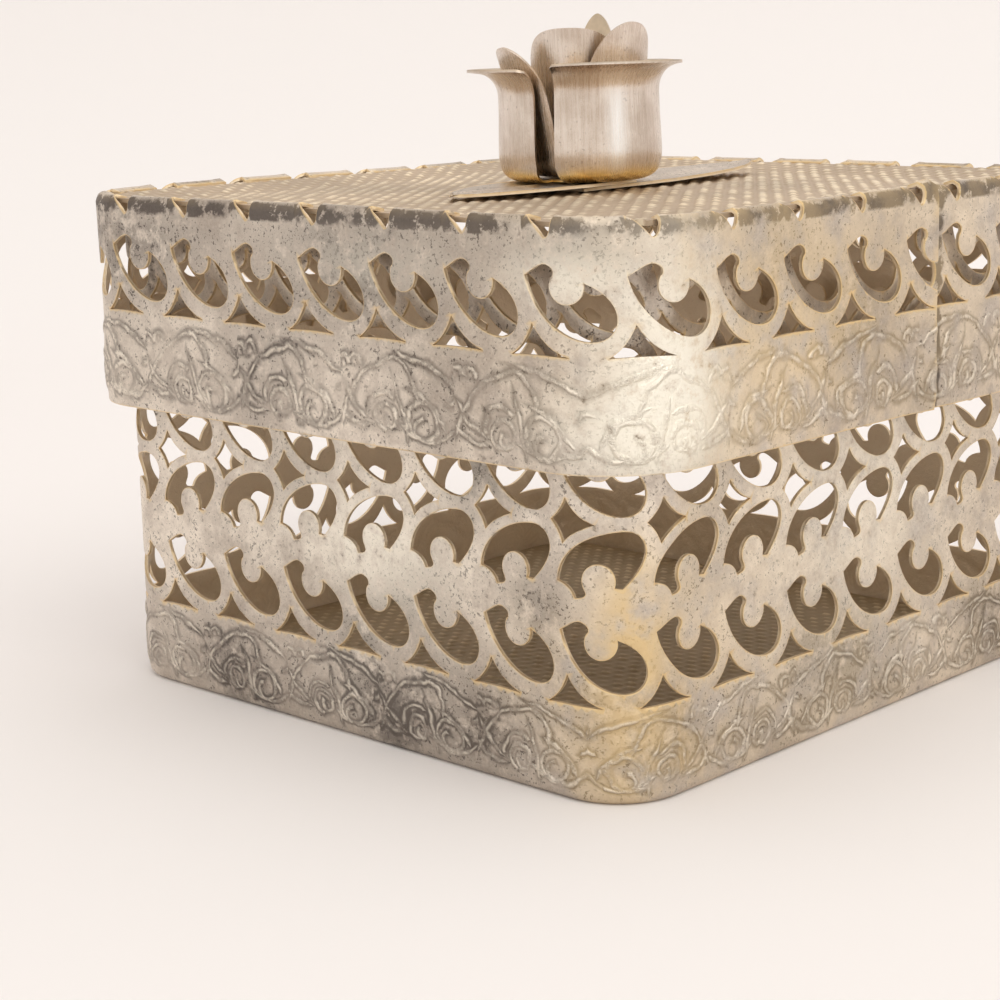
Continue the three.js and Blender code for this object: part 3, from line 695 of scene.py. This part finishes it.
# Painted highlights: the pale glow on the lid's near corner and streaks along its faces.
shine = patches((1.1, 5, 7, 9, 11), (0.7, -6, 6, 19, 3), (0.3, -32, 12, 19, 3), (0.5, 0, 9, 4, 4))
lid_wall = bent_sheet("lid_wall", lid_flat, lid_triangles, lid_cut, relief, bend_lid,
                      gilt=gilt, dark=dark, shine=shine, motif=motif, up=up, band=band)
lid_wall.data.materials.append(wall_metal)
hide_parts(*[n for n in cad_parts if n.startswith("lid_wall")])
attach(lid_wall, "lid")

# The lid's panel
# The same woven sheet as the floor, held under the tabs all round, and bowed up to meet them. It was handled
# more, and is a paler brass.
PANEL_LOW, PANEL_RISE = 57.1, 0.85
lid_panel = woven_sheet("woven_panel", LID_SIDE - INSET, LID_CORNER - INSET / 2, PANEL_LOW, rise=PANEL_RISE)
lid_panel.data.materials.append(woven_metal("woven panel", (0.95, 0.82, 0.62), (0.6, 0.47, 0.34)))
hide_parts("lid_panel")
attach(lid_panel, "lid")

# The leaves
# Two long leaves of thin sheet lie one each way under the rose and are held there by the rivet. They are
# pressed with a midrib and fine veins, and the back one curves up a little from the panel.
LEAF_SHEET = 0.35
LEAF_BEHIND = 4.8  # how far each leaf goes past the rivet
LEAF_PLACES = [0, 0.1, 0.22, 0.4, 0.58, 0.75, 0.88, 0.96, 1]
LEAF_HALVES = [4.6, 4.9, 5.7, 6.6, 6.3, 5.0, 3.2, 1.5, 0.2]  # half the width at each place along it
RIB, VEIN, VEINS = 0.22, 0.08, 11  # heights of the midrib and the veins, and how many veins
LEAF_ROWS, LEAF_COLUMNS = 60, 31


def sheet_of(grid, thickness):
    """Closes a grid of points into a sheet of even thickness below it.

    Returns its points, its faces, and for each point 0 on the given face and 1 on the other."""
    rows, columns, _ = grid.shape
    down, across = np.gradient(grid, axis=0), np.gradient(grid, axis=1)
    normal = np.cross(across, down)
    normal /= np.maximum(np.linalg.norm(normal, axis=2), 1e-9)[..., None]
    n = rows * columns
    points = np.concatenate([grid.reshape(-1, 3), (grid - thickness * normal).reshape(-1, 3)])
    k = (np.arange(rows - 1)[:, None] * columns + np.arange(columns - 1)).ravel()
    faces = np.stack([k, k + 1, k + columns + 1, k + columns], 1)
    rim = np.concatenate([np.arange(columns), np.arange(1, rows) * columns + columns - 1,
                          (rows - 1) * columns + np.arange(columns - 2, -1, -1),
                          np.arange(rows - 2, 0, -1) * columns])
    ahead = np.roll(rim, -1)
    band = np.stack([ahead, rim, rim + n, ahead + n], 1)
    faces = [*faces.tolist(), *(faces[:, ::-1] + n).tolist(), *band.tolist()]
    return points, faces, np.repeat([0.0, 1.0], n)


def turned_round(points, degrees):
    """Points turned about the upright axis."""
    angle = math.radians(degrees)
    c, s = math.cos(angle), math.sin(angle)
    return points @ np.array([[c, s, 0], [-s, c, 0], [0, 0, 1]])


def make_leaf(name, length, low, turn, lift):
    """One leaf, drawn along +Y from its end behind the rivet to its tip, then turned into place."""
    v, u = np.meshgrid(np.linspace(0, 1, LEAF_ROWS), np.linspace(-1, 1, LEAF_COLUMNS), indexing="ij")
    half = np.interp(v, LEAF_PLACES, LEAF_HALVES)
    rib = RIB * np.exp(-((u * half / 0.5) ** 2))
    veins = np.cos(2 * math.pi * (v * VEINS - np.abs(u) * 1.6)) * (np.abs(u) > 0.1) * (1 - np.abs(u))
    z = low + rib + VEIN * veins + lift * v**2 + 0.25 * u**2 * np.sin(math.pi * v)
    grid = np.stack([u * half, -LEAF_BEHIND + (length + LEAF_BEHIND) * v, z], 2)
    points, faces, below = sheet_of(grid, -LEAF_SHEET)
    faces = [face[::-1] for face in faces]
    from_rib = np.abs(np.tile(u.ravel(), 2))
    return metal_object(name, turned_round(points, turn), faces, 50, hidden=1 - below,
                        gilt=0.5 * (from_rib > 0.9), dark=0.35 * from_rib, edge=0.6 * (from_rib > 0.97))


for end, length, low, turn, lift in (("back", 33.0, 57.85, 0, 1.1), ("front", 22.0, 58.25, 180, -0.1)):
    leaf = make_leaf(f"{end}_leaf", length, low, turn, lift)
    leaf.data.materials.append(wall_metal)
    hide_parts(f"leaf_{end}")
    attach(leaf, "lid")

# The rose's petals
# Three layers of three petals, each layer cut from one piece of sheet, cupped upright from its foot, with the
# petals' rims turned out in the outer layer and less in the next. The innermost three close into a bud.
ROSE_FOOT = 58.9
PETAL_SHEET = 0.32
LAYER_STEP = 0.6  # how much higher each layer lies
EYE = 1.8  # radius of the hole for the rivet in a layer's foot
PETAL_ROWS, PETAL_COLUMNS, RING_ROWS, RING_COLUMNS = 46, 41, 6, 49


def petal_grid(profile, half_angle, side, narrow, blunt):
    """Points of one petal about +X, from the foot up.

    The profile is radius and height, half_angle the petal's reach round the cup, and side how high its side
    is as a share of its middle. The foot is narrow times as wide, and blunt squares the rim off."""
    along = np.array(profile, float)
    length = np.concatenate([[0], np.cumsum(np.linalg.norm(np.diff(along, axis=0), axis=1))])
    v, u = np.meshgrid(np.linspace(0, 1, PETAL_ROWS), np.linspace(-1, 1, PETAL_COLUMNS), indexing="ij")
    rim = side + (1 - side) * np.sqrt(np.clip(1 - np.abs(u) ** blunt, 0, 1))
    way_up = v * rim * length[-1]
    radius, height = np.interp(way_up, length, along[:, 0]), np.interp(way_up, length, along[:, 1])
    spread = narrow + (1 - narrow) * np.clip(way_up / (0.3 * length[-1]), 0, 1) ** 0.6
    angle = math.radians(half_angle) * u * spread
    return np.stack([radius * np.cos(angle), radius * np.sin(angle), height], 2), u, v


def smooth_profile(points, steps=60):
    """The points joined by a smooth curve."""
    p = np.array(points, float)
    p = np.concatenate([[2 * p[0] - p[1]], p, [2 * p[-1] - p[-2]]])
    made = []
    for i in range(1, len(p) - 2):
        a, b, c, d = p[i - 1:i + 3]
        for t in np.linspace(0, 1, steps // (len(points) - 1), endpoint=False):
            line = 2 * b + (c - a) * t
            made.append(0.5 * (line + (2 * a - 5 * b + 4 * c - d) * t**2 + (3 * b - a - 3 * c + d) * t**3))
    return np.array([*made, p[-2]])


SPECK = (0.2, 0.16, 0.13)
GOLD = (1.0, 0.73, 0.3)
GLINT = (1.0, 0.98, 0.95)


def brushed_plate(name, bright, dull, inner):
    """Bright plate with fine streaks up the sheet, gold at its foot, a painted highlight, and brown on its
    inner face.
    """
    material, s, place = new_metal(name)
    streak_place = s.node("CombineXYZ", {}, {0: layer(s, "across"), 1: layer(s, "up") * 0.06})
    streaks, cloud = noise(s, streak_place, 2.4, 5.0, 0.7), noise(s, place, 260.0, 4.0)
    grain, hidden = noise(s, place, 2600.0, 2.0), layer(s, "hidden")
    shade = streaks.between(0.3, 0.7) * 0.5 + cloud.between(0.35, 0.65) * 0.5
    colour = s.colour_mix(shade.clipped(), dull, bright)
    specks = grain.between(0.62, 0.72) * cloud.between(0.45, 0.6) * 0.5
    colour = s.colour_mix(specks.clipped(), colour, SPECK)
    colour = s.colour_mix((layer(s, "gilt") * (0.5 + cloud)).clipped(), colour, GOLD)
    # A painted highlight: near-white streaks where the shine layer is.
    colour = s.colour_mix((layer(s, "shine") * (0.6 + 0.6 * streaks)).clipped(), colour, GLINT)
    browned = s.colour_mix(cloud.between(0.3, 0.7), inner, darker(inner, 0.55))
    colour = s.colour_mix(hidden, colour, browned)
    finish_metal(s, colour, 0.2 + 0.14 * streaks + 0.1 * hidden, streaks * 0.8 + grain * 0.2, strength=0.2)
    return material


rose_metal = brushed_plate("brushed plate", (0.84, 0.75, 0.67), (0.56, 0.46, 0.38), (0.7, 0.57, 0.42))


def make_petals(name, profile, half_angle, turn, low, side, narrow, lean=(0, 0, 0), reach=(1, 1, 1),
                swing=(0, 0, 0), breadth=(1, 1, 1), blunt=(2, 2, 2), gold_foot=0.0, painted_highlight=0.0):
    """A layer of three petals on a flat ring.

    Each petal has its own lean outward, height, swing round the cup, breadth and bluntness of rim."""
    inner = profile[0][0]
    smooth = smooth_profile(profile)
    parts = []
    for k in range(3):
        grid, u, v = petal_grid(smooth, half_angle * breadth[k], side, narrow, blunt[k])
        tilt = math.radians(lean[k])
        x, y, h = grid[..., 0] - inner, grid[..., 1], grid[..., 2] * reach[k]
        out, high = x * math.cos(tilt) + h * math.sin(tilt), h * math.cos(tilt) - x * math.sin(tilt)
        grid = turned_round(np.stack([inner + out, y, high], 2), turn + 120 * k + swing[k])
        parts.append((grid + [0, 0, low], u, v))
    radii = np.linspace(EYE, inner + 0.6, RING_ROWS)
    v, u = np.meshgrid(radii, np.linspace(-1, 1, RING_COLUMNS), indexing="ij")
    angle = u * 0.998 * math.pi  # all but closed
    parts.append((np.stack([v * np.cos(angle), v * np.sin(angle), np.full_like(v, low)], 2), u, 0 * v))

    points, faces, hidden = [], [], []
    for grid, _, _ in parts:
        more, more_faces, behind = sheet_of(grid, PETAL_SHEET)
        total = sum(map(len, points))
        faces += [[k + total for k in face] for face in more_faces]
        points.append(more)
        hidden.append(behind)
    u, v = [np.concatenate([np.tile(part[k].ravel(), 2) for part in parts]) for k in (1, 2)]
    gilt = gold_foot * np.exp(-((v / 0.27) ** 8))
    # A painted highlight: an upright streak near the middle of each outer petal.
    shine = painted_highlight * np.exp(-(((u + 0.15) / 0.13) ** 2) - ((v - 0.52) / 0.24) ** 4)
    petals = metal_object(name, np.concatenate(points), faces, 50, across=9 * u, up=16 * v,
                          hidden=np.concatenate(hidden), gilt=gilt, shine=shine)
    petals.data.materials.append(rose_metal)
    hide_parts(f"rose_{name}")
    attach(petals, "lid")


make_petals("outer_petals",
            [(4.5, 0), (7.3, 0.05), (9.0, 0.9), (9.6, 2.6), (9.6, 5.0), (9.4, 8.8), (9.5, 11.4),
             (10.7, 13.0), (12.9, 13.5)],
            half_angle=53, turn=-14, low=ROSE_FOOT, side=0.9, narrow=0.78, lean=(0, 0, 2),
            reach=(1, 1, 0.97), blunt=(3.2, 3.2, 3.2), gold_foot=1.6, painted_highlight=1.0)
make_petals("middle_petals",
            [(3.5, 0), (5.2, 0.2), (6.6, 1.5), (7.3, 4.0), (7.6, 9.0), (7.9, 13.0), (8.6, 17.1)],
            half_angle=44, turn=-3.6, low=ROSE_FOOT + LAYER_STEP, side=0.5, narrow=0.7, lean=(1, -3, 6),
            reach=(1.03, 1.08, 0.91), swing=(0, -3, 11), breadth=(1, 0.5, 1), blunt=(2, 1.7, 2))
make_petals("bud",
            [(2.6, 0), (3.9, 0.3), (4.9, 2.0), (5.3, 6.0), (5.7, 12.0), (5.9, 16.6)],
            half_angle=66, turn=24, low=ROSE_FOOT + 2 * LAYER_STEP, side=0.7, narrow=0.8,
            lean=(-14, -14, 3), reach=(0.78, 0.8, 1.0), swing=(0, 0, 35), blunt=(2, 2, 2.6))

# The rivet and its washer
# A brass rivet goes down through the rose, the leaves and the panel. Its tail is spread over a washer of the
# same brass, so that it doesn't pull through the thin sheet.
RIVET_LOW, WASHER_LOW = 55.3, 55.6
RIVET = [(0.2, -1.1), (2.0, -1.0), (2.75, -0.5), (2.8, -0.1), (1.5, 0), (1.5, 6.9), (2.8, 6.95), (2.8, 7.1),
         (2.4, 7.5), (1.4, 7.95), (0.2, 8.1)]
WASHER = [(1.8, 0), (4.8, 0), (5.0, 0.2), (5.0, 0.6), (4.8, 0.8), (1.8, 0.8)]


def turned(name, profile, low, solid, around=48):
    """A body turned about the upright axis. A solid one is closed by a small flat at each end."""
    p = np.array(profile, float)
    n = len(p)
    angle = np.linspace(0, 2 * math.pi, around, endpoint=False)
    x, y = np.outer(np.cos(angle), p[:, 0]), np.outer(np.sin(angle), p[:, 0])
    points = np.stack([x, y, np.tile(p[:, 1] + low, (around, 1))], 2).reshape(-1, 3)
    faces = [[i * n + k, j * n + k, j * n + (k + 1) % n, i * n + (k + 1) % n]
             for i, j in ((i, (i + 1) % around) for i in range(around)) for k in range(n - solid)]
    if solid:
        faces += [[i * n for i in reversed(range(around))], [i * n + n - 1 for i in range(around)]]
    return metal_object(name, points, faces, 40, relief=np.ones(len(points)))


rivet_metal = woven_metal("rivet brass", (0.62, 0.5, 0.3), (0.3, 0.2, 0.1))
rivet = turned("rivet", RIVET, RIVET_LOW, solid=True)
washer = turned("washer", WASHER, WASHER_LOW, solid=False)
for piece, node in ((rivet, "rose_rivet"), (washer, "rivet_washer")):
    piece.data.materials.append(rivet_metal)
    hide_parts(node)
    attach(piece, "lid")

# The stage
# A pale floor that curves up into a wall behind the box, and soft light from a window at the right and from
# above. The camera is where the photograph was taken from.
WALL_AWAY, WALL_CURVE = 0.25, 0.12  # where the floor starts to curve up, and the curve's radius


def backdrop():
    """A sheet that runs back from in front of the camera and curves up into a wall."""
    back = Vector((-0.6768, 0.7056)).normalized()
    aside = Vector((back.y, -back.x))
    curved = [(WALL_AWAY + WALL_CURVE * math.sin(a), WALL_CURVE - WALL_CURVE * math.cos(a))
              for a in np.linspace(0.1, math.pi / 2, 14)]
    profile = [(-1.5, 0.0), (WALL_AWAY, 0.0), *curved, (0.372, 3.0)]
    points = [(back.x * d + aside.x * w, back.y * d + aside.y * w, h)
              for d, h in profile for w in (-3.0, 3.0)]
    faces = [(2 * i, 2 * i + 1, 2 * i + 3, 2 * i + 2) for i in range(len(profile) - 1)]
    mesh = bpy.data.meshes.new("backdrop")
    mesh.from_pydata(points, [], faces)
    mesh.shade_smooth()
    sheet = bpy.data.objects.new("backdrop", mesh)
    bpy.context.scene.collection.objects.link(sheet)
    material = bpy.data.materials.new("cream paper")
    material.use_nodes = True
    paper = material.node_tree.nodes["Principled BSDF"]
    paper.inputs["Base Color"].default_value = (0.9, 0.87, 0.865, 1)
    paper.inputs["Roughness"].default_value = 0.9
    mesh.materials.append(material)


backdrop()


def soft_light(name, place, target, size, power, colour):
    """A round area light that shines at a target."""
    lamp = bpy.data.lights.new(name, "AREA")
    lamp.shape, lamp.size, lamp.energy, lamp.color = "DISK", size, power, colour
    light = bpy.data.objects.new(name, lamp)
    light.location = place
    light.rotation_euler = (Vector(target) - Vector(place)).to_track_quat("-Z", "Y").to_euler()
    bpy.context.scene.collection.objects.link(light)


soft_light("window", (0.62, -0.1, 0.75), (0, 0, 0.04), 0.8, 1.9, (1.0, 0.97, 0.92))
soft_light("sky", (-0.2, 0.2, 1.1), (0, 0, 0.04), 1.0, 2.5, (1.0, 0.98, 0.96))

world = bpy.data.worlds.new("pale room")
bpy.context.scene.world = world
world.use_nodes = True
world.node_tree.nodes.clear()
s = Shade(world.node_tree)
seen = s.node("LightPath", out="Is Camera Ray") + s.node("LightPath", out="Is Glossy Ray")
seen = (seen + s.node("LightPath", out="Is Transmission Ray")).clipped()
pale = s.colour_mix(seen, (0.96, 0.93, 0.88), (1.0, 0.95, 0.9))
room = s.node("Background", {}, {"Color": pale, "Strength": 0.9 + 0.08 * seen})
s.node("OutputWorld", {}, {"Surface": room})

camera = bpy.data.objects.new("camera", bpy.data.cameras.new("camera"))
camera.data.lens, camera.data.sensor_width, camera.data.clip_start = 76.2, 36, 0.01
to_right, upward, towards = (0.7251, 0.6882, -0.02485), (-0.1268, 0.1689, 0.9775), (0.6768, -0.7056, 0.2097)
facing = Matrix((to_right, upward, towards)).transposed().to_4x4()
camera.matrix_world = Matrix.Translation((0.1689, -0.1915, 0.0747)) @ facing
bpy.context.scene.collection.objects.link(camera)
bpy.context.scene.camera = camera
bpy.context.scene.view_settings.view_transform = "Standard"
